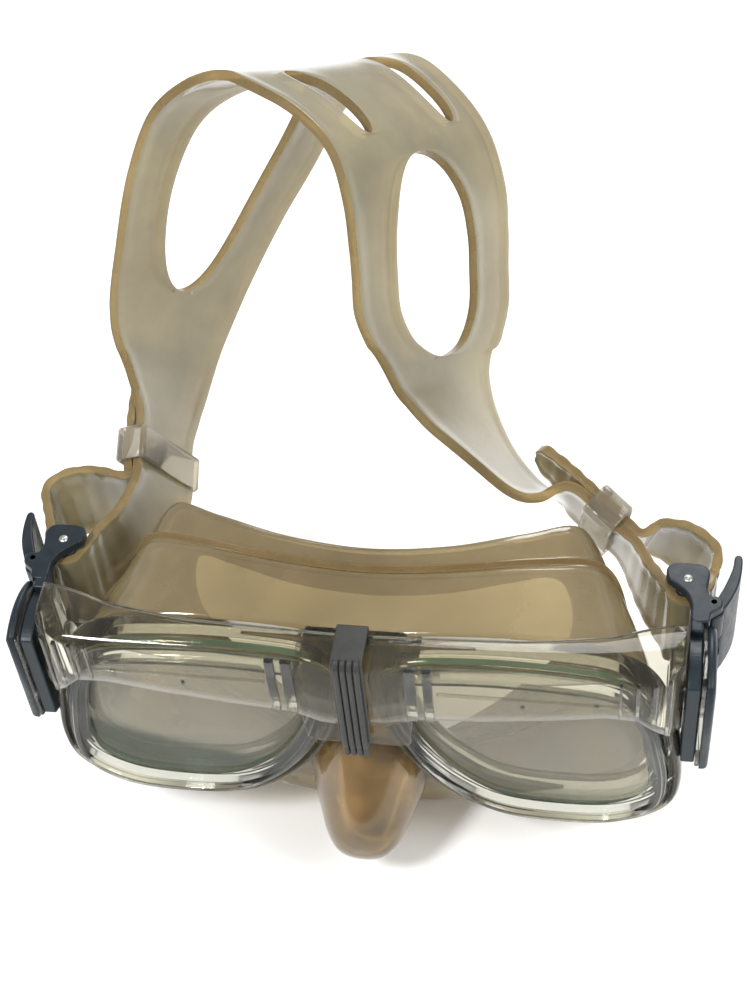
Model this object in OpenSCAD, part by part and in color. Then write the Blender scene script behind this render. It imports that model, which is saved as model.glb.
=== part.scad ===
// Two-lens snorkel mask: clear frame, silicone skirt with a nose pocket,
// split silicone head strap and two swivel buckles with quick-release levers.
// -Y is forward, +Z is up, and the origin is at the middle of the face seal.
// Left and right are as seen from in front: left is -X.

/* [Lenses] */
// distance of the glass front plane ahead of the face seal
lens_gap = 40; // [36:1:46]
// thickness of each glass lens
glass_t = 3.4; // [2.8:0.2:5]
// width of the clear retaining ring
ring_w = 4.6; // [3.5:0.2:6]

/* [Frame] */
// width of the rim outside each lens
rim_w = 5; // [4:0.5:7]
// depth of the rim behind the glass front plane
rim_depth = 7; // [6:0.5:10]
// height of the brow bar's top edge
bar_top = 40; // [36:1:44]
// height of the brow bar's lower edge above the middle of each lens
bar_low = 21; // [18:0.5:23]
// thickness of the brow bar's front wall
bar_wall = 2.3; // [1.6:0.1:3]

/* [Bridge clip] */
// width of the clip over the bridge
clip_w = 7.6; // [7:0.2:12]
// number of ribs on the clip
clip_ribs = 4; // [3:1:5]

/* [Skirt] */
// wall thickness of the silicone skirt
skirt_t = 1.8; // [1.4:0.1:2.6]

/* [Strap] */
// thickness of the strap
strap_t = 2.2; // [1.6:0.1:3]
// radius of the roller that the strap turns around
roller_r = 3; // [2.4:0.1:3.6]
// length of each keeper loop along the strap
keeper_len = 9; // [6:1:14]

/* [Buckle] */
// height of the swivel axis
pivot_z = 19.5; // [18:0.5:22]
// radius of the swivel pin
pivot_r = 3; // [2:0.1:4]
// thickness of each yoke plate
plate_t = 2.6; // [2:0.1:3.4]
// radius of the steel roller pin
pin_r = 1.25; // [1:0.05:1.6]

/* [Hidden] */
$fn = 48;

lens_y = -lens_gap;
// front face of the brow bar, ahead of the glass plane
bar_front = -6.2;
// swivel axis, measured back from the glass plane
pivot_back = 6.5;
// outer face of the frame's end block
end_x = 77.3;
// inner face of the pivot boss, outside the skirt
boss_x = 73.4;
// roller axis
roller_x = 77;
roller_y = -12;
// running clearance of pins and bores
fit = 0.05;
// gap between neighbouring pieces
gap = 0.15;
// clear height between the yoke plates
strap_room = 25.2;
// lever hinge
lever_x = 83.2;
lever_y = -18.6;
lever_hub_r = 2.6;
lever_pin_r = 0.9;

frame_clear = [0.62, 0.63, 0.6, 0.55];
glass_tint = [0.6, 0.68, 0.66, 0.4];
keeper_clear = [0.72, 0.68, 0.64, 0.7];
silicone = [0.68, 0.62, 0.48];
slate = [0.33, 0.35, 0.36];
navy = [0.12, 0.17, 0.22];
steel = [0.7, 0.7, 0.72];

// glass outline of the right lens, clockwise in X and Z
lens_points = [
    [10, 29], [28, 32], [50, 31.5], [63.5, 28.5], [69.5, 19], [72, 8], [73.5, -5], [71.5, -15],
    [62, -22], [47, -23.5], [34, -21.5], [24, -14.5], [16, -4], [10.5, 9], [8.5, 20]
];

// half plan of the brow bar, front edge from the middle out and back edge in
bar_plan = [
    [0, bar_front], [40, bar_front], [64, -6], [71, -5.4], [75, -3], [end_x, 1],
    [end_x, 12.5], [74.4, 12.5], [73.4, 6.9], [60, 6.9], [40, 4.5], [0, 3]
];

// half outline of the brow bar seen from the front
bar_face = [
    [0, bar_low - 6], [8, bar_low - 5], [15, bar_low - 1.5], [31, bar_low], [47, bar_low + 2.5],
    [60, bar_low + 5], [67, bar_low + 4.5], [72, bar_low - 1], [end_x - 1.5, bar_low - 5],
    [end_x, bar_low - 3], [end_x, bar_top - 0.6], [end_x - 0.6, bar_top], [0, bar_top]
];

// half loops of the skirt from the top centre to the bottom centre
skirt_front = [
    [0, 7.2, 33], [22, 7.2, 35], [46, 7.2, 35.5], [64, 7.2, 31], [71, 7.2, 18], [71.5, 7.2, 0],
    [66, 7.2, -15], [50, 7.2, -24], [32, 7.2, -30], [15, 7.2, -35], [0, 7.2, -36.5]
];
skirt_waist = [
    [0, 20, 36], [20, 20, 37.5], [42, 22, 38], [58, 25, 33], [64.5, 27, 18], [65, 28, 0],
    [60, 28, -17], [46, 27, -29], [29, 25, -38], [14, 23, -41], [0, 22, -42]
];
skirt_edge = [
    [0, 30, 39], [20, 31.5, 40], [38, 36, 41], [51, 41, 38.5], [55.5, 43, 19], [56, 44, 0],
    [52, 44, -17], [42, 42, -31], [27, 38, -41], [13, 33, -44], [0, 31, -44]
];
skirt_lip = [
    [0, 27, 26], [18, 28, 27], [34, 32, 28], [44, 36, 26], [48.5, 38, 15], [49, 39, 0],
    [44, 39, -13], [35, 37, -24], [23, 33, -33], [11, 28, -37], [0, 26, -37]
];

// keeper loops: centre, heading and slope of the strap through it, and those of its width
keeper_frame_left = [[-62, 24, 29], [95, 20], [45, -60]];
keeper_frame_right = [[56, 11, 30], [-35, -20], [105, -60]];
// distance of each layer of strap from the middle of a keeper
layer = 1.4;
// straight stretch on each side of a keeper's middle
straight = 9;
// distance from a keeper's middle to the loose tip of the strap
tip_reach = 24;
// width of the strap's ends
end_w = 24;
// radius of the strap's middle surface around a roller
turn_r = 4.5;
// middle height of the strap between the yoke plates
turn_z = 22.5;
// keys of the head arch from left to right: centre, heading and slope along the strap,
// pull before and after the key, heading and slope across the strap, and width
arch_keys = [
    [[-63, 58, 47], [70, 50], 12, [50, -50], 46],
    [[-45, 88, 87], [35, 45], 14, [55, -35], 70],
    [[-15, 89, 106], [-30, -10], 14, [65, -25], 71],
    [[8, 66, 88], [-75, -50], 14, [60, -30], 71],
    [[11, 48, 66], [-80, -50], 10, [60, -30], 68],
    [[15, 35, 51], [-60, -50], 8, [60, -35], 42],
    [[34, 18, 35], [-30, -25], 8, [85, -35], 25]
];
// steps of the strap's route between two keys
key_steps = 3;

function wrap(v, i) = v[(i + len(v)) % len(v)];
function clamp(v, i) = v[max(0, min(len(v) - 1, i))];
function unit(v) = v / norm(v);
function spline(a, b, c, d, t) =
    0.5 * (2 * b + (c - a) * t + (2 * a - 5 * b + 4 * c - d) * t * t
    + (3 * b - a - 3 * c + d) * t * t * t);
// smooth closed loop through v, n steps between points
function closed_curve(v, n) = [
    for (i = [0 : len(v) - 1]) for (k = [0 : n - 1])
        spline(wrap(v, i - 1), wrap(v, i), wrap(v, i + 1), wrap(v, i + 2), k / n)
];
// point at step u on a smooth open curve through v
function along(v, u) =
    let (i = min(floor(u), len(v) - 2))
    spline(clamp(v, i - 1), v[i], v[i + 1], clamp(v, i + 2), u - i);
// clockwise flat outline moved outward by d
function grow(v, d) = [
    for (i = [0 : len(v) - 1])
        let (t = unit(wrap(v, i + 1) - wrap(v, i - 1)))
        v[i] + d * [-t[1], t[0]]
];
function mirror_half(v) = concat(v, [for (i = [len(v) - 2 : -1 : 1]) [-v[i][0], v[i][1], v[i][2]]]);
function mirror_plan(v) = concat(v, [for (i = [len(v) - 1 : -1 : 0]) [-v[i][0], v[i][1]]]);

// direction from a heading round Z and a slope above level, in degrees
function toward(h) = [cos(h[0]) * cos(h[1]), sin(h[0]) * cos(h[1]), sin(h[1])];
function bezier(a, b, c, d, t) =
    pow(1 - t, 3) * a + 3 * pow(1 - t, 2) * t * b + 3 * (1 - t) * t * t * c + pow(t, 3) * d;
// part of the way from 0 to 1, slow at both ends
function ease(t) = t * (1 + 3 * t - 2 * t * t) / 2;
// strap frame in a keeper: layer 1 is the outer one, -1 the inner one
function through(k, side, s) =
    let (t = toward(k[1]))
    let (a = toward(k[2]))
    let (d = unit(a - t * (a * t)))
    [k[0] + cross(t, d) * layer * side + t * s, a, end_w];
function level_frame(x, y, z) = [[x, y, z], [0, 0, -1], end_w];
// half turn of the strap around the roller on side k, from its outer to its inner run
function half_turn(k) = [
    for (a = [0 : 45 : 180])
        level_frame(k * (roller_x + turn_r * cos(a)), roller_y - turn_r * sin(a), turn_z)
];
// frame between two keys
function between(p, q, t) =
    let (e = ease(t))
    [
        bezier(p[0], p[0] + toward(p[1]) * p[2], q[0] - toward(q[1]) * q[2], q[0], t),
        unit(toward(p[3]) * (1 - e) + toward(q[3]) * e),
        p[4] * (1 - e) + q[4] * e
    ];
function keeper_key(k, s, pull) = [through(k, -1, s)[0], k[1], pull, k[2], end_w];
arch_all = concat(
    [keeper_key(keeper_frame_left, straight, 8)], arch_keys,
    [keeper_key(keeper_frame_right, -straight, 5)]
);

lens_curve = closed_curve(lens_points, 4);

// flat shape in X and Z given a depth, from y0 back to y1 behind the glass front plane
module slab(y0, y1) {
    translate([0, lens_y + y1, 0])
        rotate([90, 0, 0])
            linear_extrude(y1 - y0)
                children();
}

// round bar along X, at a distance back from the glass plane
module x_rod(r, x0, x1, back, z) {
    translate([x0, lens_y + back, z])
        rotate([0, 90, 0])
            cylinder(r = r, h = x1 - x0);
}

module both_sides() {
    children();
    mirror([1, 0, 0]) children();
}

module lens_shape(d) {
    polygon(grow(lens_curve, d));
}

// brow bar before it is hollowed, the plan cut to the outline seen from the front
module bar_blank() {
    intersection() {
        translate([0, lens_y, 0])
            linear_extrude(bar_top + 5)
                polygon(mirror_plan(bar_plan));
        slab(bar_front - 1, 20)
            polygon(mirror_plan(bar_face));
    }
}

module frame_body() {
    difference() {
        union() {
            bar_blank();
            slab(-1, rim_depth)
                intersection() {
                    both_sides() lens_shape(rim_w);
                    square([2 * end_x, 120], center = true);
                }
            // bridge between the lenses
            slab(bar_front + bar_wall, rim_depth)
                polygon([[-13, 4], [13, 4], [15, 30], [-15, 30]]);
            both_sides() {
                // pivot boss on the end block
                x_rod(8, boss_x, end_x, pivot_back, pivot_z);
                // raised bands beside the clip
                for (x = [13.2, 17.4])
                    translate([x, lens_y + bar_front - 0.6, bar_low - 0.5])
                        cube([2.6, 2, bar_top - bar_low]);
            }
        }
        both_sides() {
            // seat of the glass and its ring, closed in front by the bar's wall
            slab(bar_front + bar_wall, glass_t + gap)
                lens_shape(ring_w - 3 + gap);
            // sight opening
            slab(0, rim_depth + 10)
                lens_shape(-3);
            // vertical grooves on the end block
            for (x = [66, 70, 74])
                translate([x, lens_y + bar_front - 0.2 + (x - 66) * 0.16, bar_low])
                    cube([0.8, 1.2, 15]);
            // swivel pin's bore
            x_rod(pivot_r + fit, boss_x, end_x + 1, pivot_back, pivot_z);
            // drain holes beside the bridge
            translate([8, lens_y - 10, 11])
                rotate([-90, 0, 0])
                    cylinder(r = 0.9, h = 12);
        }
        // seat of the clip
        translate([-clip_w / 2 - gap, lens_y + bar_front - 1, 3])
            cube([clip_w + 2 * gap, 1.5, bar_top]);
    }
}

module lens() {
    slab(0, glass_t)
        lens_shape(ring_w - 3);
}

// stepped clear ring that holds the glass in its seat
module lens_ring() {
    slab(-2.4, -gap / 2)
        difference() {
            lens_shape(ring_w - 3);
            lens_shape(-3);
        }
    slab(-3.6, -2.3)
        difference() {
            lens_shape(ring_w - 4);
            lens_shape(-1.6);
        }
}

module clip_body() {
    front = bar_front - 1.6;
    pitch = (clip_w - 1.4) / clip_ribs;
    // lower end of the ribs
    foot_z = 5;
    // front plate with its ribs
    translate([-clip_w / 2, lens_y + front, 8])
        cube([clip_w, 2, bar_top - 7]);
    for (i = [0 : clip_ribs - 1])
        translate([(i - (clip_ribs - 1) / 2) * pitch, lens_y + front, foot_z]) {
            cylinder(r = pitch * 0.36, h = bar_top - foot_z);
            sphere(r = pitch * 0.36);
        }
    translate([-clip_w / 2 + 0.6, lens_y + front, foot_z])
        cube([clip_w - 1.2, 2, 5]);
    // top plate and the hook behind the bar
    translate([-clip_w / 2, lens_y + front, bar_top + gap])
        cube([clip_w, 3.6 - front + 1.4, 1.5]);
    translate([-clip_w / 2, lens_y + 3.2, bar_top - 5])
        cube([clip_w, 1.6, 6]);
}

skirt_steps = 4;
skirt_rings = 9;
skirt_loops = [
    for (v = [skirt_front, skirt_waist, skirt_edge, skirt_lip])
        closed_curve(mirror_half(v), skirt_steps)
];
skirt_n = len(skirt_loops[0]);

// outward direction of a clockwise loop at point i, seen from in front
function out_dir(v, i) =
    let (t = wrap(v, i + 1) - wrap(v, i - 1))
    unit([-t[2], 0, t[0]]);
// point of the skirt wall at step u from front to lip, moved inward by d
function skirt_point(i, u, d) =
    along([for (v = skirt_loops) v[i]], u)
    - d * (u > 2.4 ? [0, 1, 0] : u > 1.6 ? unit(out_dir(skirt_loops[2], i) + [0, 1, 0])
    : out_dir(skirt_loops[min(floor(u), 2)], i));

module skirt_wall() {
    rows = concat(
        [for (k = [0 : skirt_rings - 1]) [3 * k / (skirt_rings - 1), 0]],
        [for (k = [skirt_rings - 1 : -1 : 0]) [3 * k / (skirt_rings - 1), skirt_t]]
    );
    m = len(rows);
    translate([0, lens_y, 0])
        polyhedron(
            points = [for (r = rows) for (i = [0 : skirt_n - 1]) skirt_point(i, r[0], r[1])],
            faces = [
                for (j = [0 : m - 1]) for (i = [0 : skirt_n - 1])
                    let (a = j * skirt_n + i)
                    let (b = j * skirt_n + (i + 1) % skirt_n)
                    let (c = ((j + 1) % m) * skirt_n + (i + 1) % skirt_n)
                    let (d = ((j + 1) % m) * skirt_n + i)
                    for (f = [[a, c, b], [a, d, c]]) f
            ]
        );
}

// nose pocket, grown inward by t
module nose_shape(t) {
    hull() {
        translate([0, lens_y + 7, -5.6]) sphere(r = 8.6 - t, $fn = 32);
        translate([0, lens_y - 8, -16.5]) sphere(r = 8.6 - t, $fn = 32);
        for (x = [-6.5, 6.5]) {
            translate([x * 0.9, lens_y - 6.5, -25.5]) sphere(r = 8.4 - t, $fn = 32);
            translate([x * 1.3, lens_y + 9, -24]) sphere(r = 9.6 - t, $fn = 32);
        }
    }
}

module skirt_body() {
    front_loop = [for (p = skirt_loops[0]) [p[0], p[2]]];
    difference() {
        union() {
            skirt_wall();
            slab(7.2, 9.2)
                polygon(grow(front_loop, -0.4));
            difference() {
                nose_shape(0);
                slab(10, 40) square(120, center = true);
            }
        }
        slab(0, 12)
            both_sides()
                lens_shape(-2.4);
        difference() {
            nose_shape(skirt_t);
            slab(11, 40) square(120, center = true);
        }
    }
}

// loose tip, outer run, roller and inner run of the strap's left end
left_end = concat(
    [for (q = [[tip_reach, 8], [tip_reach - 2, 18], [tip_reach - 6, 22]])
        let (f = through(keeper_frame_left, 1, q[0]))
        [f[0], f[1], q[1]]],
    [for (q = [straight, 0, -straight]) through(keeper_frame_left, 1, q)],
    [
        [[-66, 13.5, 25], [0.3, 0.2, -0.93], end_w],
        [[-75, 13.5, 25], [0.1, 0.1, -1], end_w],
        level_frame(-83, 11, 24.5),
        level_frame(-86.5, 5.5, 23.5),
        level_frame(-83, -5, turn_z)
    ],
    half_turn(-1),
    [
        level_frame(-70, -5, turn_z),
        [[-65, 3, 23.5], [0.1, 0.1, -1], end_w]
    ],
    [for (q = [-straight, 0]) through(keeper_frame_left, -1, q)]
);
// inner run, roller, outer run and loose tip of its right end
right_turn = half_turn(1);
right_end = concat(
    [for (q = [0, straight]) through(keeper_frame_right, -1, q)],
    [[[67.5, -4, 23.5], [0, 0.1, -1], end_w]],
    [for (i = [len(right_turn) - 1 : -1 : 0]) right_turn[i]],
    [
        level_frame(83.5, -5, turn_z),
        level_frame(82.5, 1.5, 24),
        [[77, 7, 26], [0, 0.2, -0.98], end_w],
        [[69, 9, 27.5], [-0.1, 0.4, -0.9], end_w]
    ],
    [for (q = [straight, 0, -straight]) through(keeper_frame_right, 1, q)],
    [for (q = [[tip_reach - 10, 24], [tip_reach - 6, 22], [tip_reach - 2, 18], [tip_reach, 8]])
        let (f = through(keeper_frame_right, 1, -q[0]))
        [f[0], f[1], q[1]]]
);
strap_route = concat(
    left_end,
    [for (k = [0 : len(arch_all) - 2]) for (i = [0 : key_steps - 1])
        between(arch_all[k], arch_all[k + 1], i / key_steps)],
    [through(keeper_frame_right, -1, -straight)],
    right_end
);
// first and last route steps of the two large openings and of the pair of slits
arch_start = len(left_end);
open_a = [arch_start + 3.6, arch_start + 7.7];
open_b = [arch_start + 11.2, arch_start + 16.8];
slits = [arch_start + 8.4, arch_start + 10.7];

strap_steps = 2;
strap_centres = [for (s = strap_route) s[0]];
strap_across = [for (s = strap_route) s[1]];
strap_widths = [for (s = strap_route) s[2]];
strap_last = (len(strap_route) - 1) * strap_steps;

function strap_dir(u) = along(strap_centres, min(u + 0.1, len(strap_route) - 1))
    - along(strap_centres, max(u - 0.1, 0));
// share of the half width taken by an opening between two steps, 0 outside it
function bow(u, span) =
    let (t = (2 * u - span[0] - span[1]) / (span[1] - span[0]))
    abs(t) < 1 ? pow(1 - pow(abs(t), 2.8), 0.5) : 0;
function is_open(u, span) = u > span[0] && u < span[1];
// columns across the strap at step u, as shares of its width
function columns(u) =
    is_open(u, open_a) || is_open(u, open_b)
    ? let (h = 0.26 * max(bow(u, open_a), bow(u, open_b))) [0, 0.5 - h, 0.48, 0.52, 0.5 + h, 1]
    : [0, 0.19, 0.3, 0.73, 0.84, 1];
// which of the five bands between columns are cut out from step u on
function cut(u, j) =
    let (v = u + 1 / strap_steps)
    (is_open(u, open_a) && is_open(v, open_a)) || (is_open(u, open_b) && is_open(v, open_b))
    ? j > 0 && j < 4
    : is_open(u, slits) && is_open(v, slits) && (j == 1 || j == 3);
function strap_point(u, share, side) =
    let (c = along(strap_centres, u))
    let (t = unit(strap_dir(u)))
    let (d0 = along(strap_across, u))
    let (d = unit(d0 - t * (d0 * t)))
    c + d * (share - 0.5) * along(strap_widths, u) + cross(t, d) * side * strap_t / 2;

module strap_body() {
    n = strap_last + 1;
    us = [for (i = [0 : strap_last]) i / strap_steps];
    // point index of row i, column j, outer face 1 or inner face 0
    function at(i, j, s) = (i * 6 + j) * 2 + s;
    function solid(i, j) = i >= 0 && i < strap_last && j >= 0 && j < 5 && !cut(us[i], j);
    function quad(a, b, c, d) = [[a, b, c], [a, c, d]];
    polyhedron(
        points = [for (u = us) for (p = columns(u)) for (s = [-1, 1]) strap_point(u, p, s)],
        faces = [
            for (i = [0 : strap_last - 1]) for (j = [0 : 4]) if (solid(i, j))
                for (q = concat(
                    quad(at(i, j, 1), at(i, j + 1, 1), at(i + 1, j + 1, 1), at(i + 1, j, 1)),
                    quad(at(i, j, 0), at(i + 1, j, 0), at(i + 1, j + 1, 0), at(i, j + 1, 0)),
                    solid(i - 1, j) ? []
                        : quad(at(i, j, 0), at(i, j + 1, 0), at(i, j + 1, 1), at(i, j, 1)),
                    solid(i + 1, j) ? []
                        : quad(at(i + 1, j, 1), at(i + 1, j + 1, 1), at(i + 1, j + 1, 0), at(i + 1, j, 0)),
                    solid(i, j - 1) ? []
                        : quad(at(i, j, 1), at(i + 1, j, 1), at(i + 1, j, 0), at(i, j, 0)),
                    solid(i, j + 1) ? []
                        : quad(at(i, j + 1, 0), at(i + 1, j + 1, 0), at(i + 1, j + 1, 1), at(i, j + 1, 1))
                )) q
        ]
    );
}

// clear loop around both layers of the strap at keeper frame k
module keeper(k) {
    centre = k[0];
    t = toward(k[1]);
    a = toward(k[2]);
    d = unit(a - t * (a * t));
    n = cross(t, d);
    room = [2 * strap_t + 1.6, 25];
    multmatrix([
        [n[0], d[0], t[0], centre[0]],
        [n[1], d[1], t[1], centre[1]],
        [n[2], d[2], t[2], centre[2]],
        [0, 0, 0, 1]
    ])
        difference() {
            translate([-room[0] / 2 - 1.4, -room[1] / 2 - 1.6, -keeper_len / 2])
                cube([room[0] + 2.8, room[1] + 3.2, keeper_len]);
            translate([-room[0] / 2, -room[1] / 2, -keeper_len])
                cube([room[0], room[1], 2 * keeper_len]);
        }
}

plate_low = pivot_z + 3 - strap_room / 2 - plate_t;
plate_high = pivot_z + 3 + strap_room / 2;

// upright oval on the swivel axis, from x0 to x1
module oval(r, half_w, x0, x1) {
    intersection() {
        x_rod(r, x0, x1, pivot_back, pivot_z);
        translate([x0 - 1, lens_y + pivot_back - half_w, 0])
            cube([x1 - x0 + 2, 2 * half_w, 60]);
    }
}

// outline of the right yoke plate seen from above
module plate_shape() {
    difference() {
        union() {
            translate([roller_x, roller_y]) circle(r = 4.6);
            polygon([[roller_x - 4.3, roller_y + 1.4], [roller_x + 4.5, roller_y + 1],
                [lever_x + 1.2, lever_y + 1.6], [lever_x + 1.6, lever_y - 2],
                [81.5, lever_y - 5.6], [78, lever_y - 5.6], [77.9, lever_y + 1]]);
            translate([lever_x, lever_y]) circle(r = lever_hub_r);
        }
        translate([roller_x, roller_y]) circle(r = pin_r);
        translate([lever_x, lever_y]) circle(r = lever_pin_r);
    }
}

// right buckle body: pivot disc, spine and two yoke plates
module yoke() {
    difference() {
        union() {
            oval(17, 8.5, end_x + 0.4, 81);
            translate([end_x + 0.6, lever_y - 9, plate_low])
                cube([3, 7, plate_high - plate_low + plate_t]);
            for (z = [plate_low, plate_high])
                translate([0, 0, z])
                    linear_extrude(plate_t) plate_shape();
        }
        x_rod(pivot_r + fit, end_x - 1, 90, pivot_back, pivot_z);
    }
}

// right outer shell over the pivot
module cover() {
    difference() {
        oval(18.4, 9, 82.2, 84.9);
        x_rod(pivot_r + 2.2, 80, 83.4, pivot_back, pivot_z);
    }
}

// clear strip held between the right cover and the right body
module window() {
    difference() {
        oval(18, 8.7, 81.1, 82.1);
        x_rod(pivot_r + 2.2, 80, 83.4, pivot_back, pivot_z);
    }
}

// right swivel pin with its head under the cover
module swivel_pin() {
    x_rod(pivot_r, boss_x + gap, 82, pivot_back, pivot_z);
    x_rod(pivot_r + 1.6, 81.2, 83, pivot_back, pivot_z);
}

module roller() {
    translate([roller_x, roller_y, plate_low + plate_t + 0.3])
        difference() {
            cylinder(r = roller_r, h = strap_room - 0.6);
            translate([0, 0, -1]) cylinder(r = pin_r + fit, h = strap_room + 2);
        }
}

module roller_axle() {
    translate([roller_x, roller_y, plate_low - 0.4])
        cylinder(r = pin_r, h = strap_room + 2 * plate_t + 0.8);
}

lever_room = strap_room - 1;
// outline of the right lever seen from above
lever_outline = [
    [83.4, -16.4], [84.4, -14.2], [86, -10.4], [87.6, -5.4], [88.2, -1.6], [89.8, -1.6],
    [89.9, -5], [89.2, -10], [87.6, -14.6], [85.5, -18.2]
];

// right release lever: hub, curved blade and the tooth that grips the strap
module lever() {
    translate([0, 0, plate_low + plate_t + 0.5])
        difference() {
            union() {
                translate([lever_x, lever_y])
                    cylinder(r = lever_hub_r, h = lever_room);
                linear_extrude(lever_room)
                    polygon(closed_curve(lever_outline, 2));
                linear_extrude(lever_room)
                    polygon([[82, -19.5], [82, -17.5], [79.9, -17.8]]);
            }
            translate([lever_x, lever_y, -1])
                cylinder(r = lever_pin_r + fit, h = lever_room + 2);
            // room for the coil spring
            translate([lever_x, lever_y, lever_room / 2 - 3])
                cylinder(r = lever_hub_r - 0.65, h = 6);
        }
}

module lever_axle() {
    translate([lever_x, lever_y, plate_low])
        cylinder(r = lever_pin_r, h = strap_room + 2 * plate_t);
}

// coil spring around the lever pin, drawn as touching turns
module spring() {
    wire = 0.35;
    translate([lever_x, lever_y, plate_low + plate_t + 0.5 + lever_room / 2 - 2.2])
        for (i = [0 : 7])
            translate([0, 0, i * 0.62])
                rotate_extrude()
                    translate([lever_pin_r + 0.2 + wire, 0])
                        circle(r = wire, $fn = 16);
}

module left() {
    mirror([1, 0, 0]) children();
}

module main_frame() {
    color(frame_clear) frame_body();
}

module lens_ring_left() {
    color(frame_clear) left() lens_ring();
}

module lens_ring_right() {
    color(frame_clear) lens_ring();
}

module lens_left() {
    color(glass_tint) left() lens();
}

module lens_right() {
    color(glass_tint) lens();
}

module bridge_clip() {
    color(slate) clip_body();
}

module skirt() {
    color(silicone) skirt_body();
}

module head_strap() {
    color(silicone) strap_body();
}

module keeper_left() {
    color(keeper_clear) keeper(keeper_frame_left);
}

module keeper_right() {
    color(keeper_clear) keeper(keeper_frame_right);
}

module buckle_body_left() {
    color(navy) left() yoke();
}

module buckle_body_right() {
    color(navy) yoke();
}

module buckle_cover_left() {
    color(navy) left() cover();
}

module buckle_cover_right() {
    color(navy) cover();
}

module buckle_window_left() {
    color(frame_clear) left() window();
}

module buckle_window_right() {
    color(frame_clear) window();
}

module pivot_pin_left() {
    color(steel) left() swivel_pin();
}

module pivot_pin_right() {
    color(steel) swivel_pin();
}

module strap_roller_left() {
    color(navy) left() roller();
}

module strap_roller_right() {
    color(navy) roller();
}

module roller_pin_left() {
    color(steel) left() roller_axle();
}

module roller_pin_right() {
    color(steel) roller_axle();
}

module release_lever_left() {
    color(navy) left() lever();
}

module release_lever_right() {
    color(navy) lever();
}

module lever_pin_left() {
    color(steel) left() lever_axle();
}

module lever_pin_right() {
    color(steel) lever_axle();
}

module lever_spring_left() {
    color(steel) left() spring();
}

module lever_spring_right() {
    color(steel) spring();
}

main_frame();
lens_ring_left();
lens_ring_right();
lens_left();
lens_right();
bridge_clip();
skirt();
head_strap();
keeper_left();
keeper_right();
buckle_body_left();
buckle_body_right();
buckle_cover_left();
buckle_cover_right();
buckle_window_left();
buckle_window_right();
pivot_pin_left();
pivot_pin_right();
strap_roller_left();
strap_roller_right();
roller_pin_left();
roller_pin_right();
release_lever_left();
release_lever_right();
lever_pin_left();
lever_pin_right();
lever_spring_left();
lever_spring_right();
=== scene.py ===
import math

import bmesh
import bpy
import numpy as np
from mathutils import Matrix, Vector
from mathutils.kdtree import KDTree


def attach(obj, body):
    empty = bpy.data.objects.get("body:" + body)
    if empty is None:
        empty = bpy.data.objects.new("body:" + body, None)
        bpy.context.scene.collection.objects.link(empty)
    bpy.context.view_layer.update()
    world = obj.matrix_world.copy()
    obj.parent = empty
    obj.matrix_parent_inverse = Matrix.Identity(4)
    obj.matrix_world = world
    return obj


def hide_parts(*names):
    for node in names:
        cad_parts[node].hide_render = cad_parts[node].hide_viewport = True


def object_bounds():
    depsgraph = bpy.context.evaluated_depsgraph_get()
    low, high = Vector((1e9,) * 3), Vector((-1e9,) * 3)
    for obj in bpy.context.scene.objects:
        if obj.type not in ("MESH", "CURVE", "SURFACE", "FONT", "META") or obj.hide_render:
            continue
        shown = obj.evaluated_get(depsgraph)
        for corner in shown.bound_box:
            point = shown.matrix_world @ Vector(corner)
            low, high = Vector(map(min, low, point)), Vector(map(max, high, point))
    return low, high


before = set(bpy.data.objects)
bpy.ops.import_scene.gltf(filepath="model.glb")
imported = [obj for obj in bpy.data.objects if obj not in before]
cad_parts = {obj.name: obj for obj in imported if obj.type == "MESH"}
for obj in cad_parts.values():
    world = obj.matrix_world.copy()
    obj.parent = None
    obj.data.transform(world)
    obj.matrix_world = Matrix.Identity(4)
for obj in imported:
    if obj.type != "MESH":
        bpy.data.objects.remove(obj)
cad_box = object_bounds()

MM = 0.001
SIDES = (("left", -1.0), ("right", 1.0))
# all measures from here on are in mm
LENS_Y = -40.0                              # front plane of the glass
PIVOT_Y, PIVOT_Z = -33.5, 19.5              # swivel axis of the buckles
ROLLER = (77.0, -12.0)                      # axis of the right strap roller in x and y
LEVER = (83.2, -18.6)                       # hinge of the right release lever in x and y
PLATE_LOW, PLATE_HIGH, PLATE_T = 7.3, 35.1, 2.6    # lower faces and thickness of the yoke plates


# ---------------------------------------------------------------- curves
def spline(points, u):
    """Smooth open curve through points, at steps u."""
    p = np.asarray(points, float)
    u = np.clip(np.asarray(u, float), 0, len(p) - 1)
    i = np.minimum(u.astype(int), len(p) - 2)
    t = (u - i)[:, None]
    a, b, c, d = (p[np.clip(i + k, 0, len(p) - 1)] for k in (-1, 0, 1, 2))
    return 0.5 * (2 * b + (c - a) * t + (2 * a - 5 * b + 4 * c - d) * t**2
                  + (3 * b - a - 3 * c + d) * t**3)


def loop(points, steps):
    """Smooth closed curve through points."""
    p = np.asarray(points, float)
    u = np.arange(len(p) * steps) / steps + 1
    return spline(np.vstack([p[-1:], p, p[:2]]), u)


def grow(outline, d):
    """Clockwise flat outline moved outward by d."""
    p = np.asarray(outline, float)
    t = np.roll(p, -1, 0) - np.roll(p, 1, 0)
    t /= np.linalg.norm(t, axis=1)[:, None]
    return p + d * np.stack([-t[:, 1], t[:, 0]], 1)


def unit(v):
    return v / np.linalg.norm(v, axis=-1, keepdims=True)


def smoothstep(x, a, b):
    t = np.clip((np.asarray(x, float) - a) / (b - a), 0, 1)
    return t * t * (3 - 2 * t)


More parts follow.
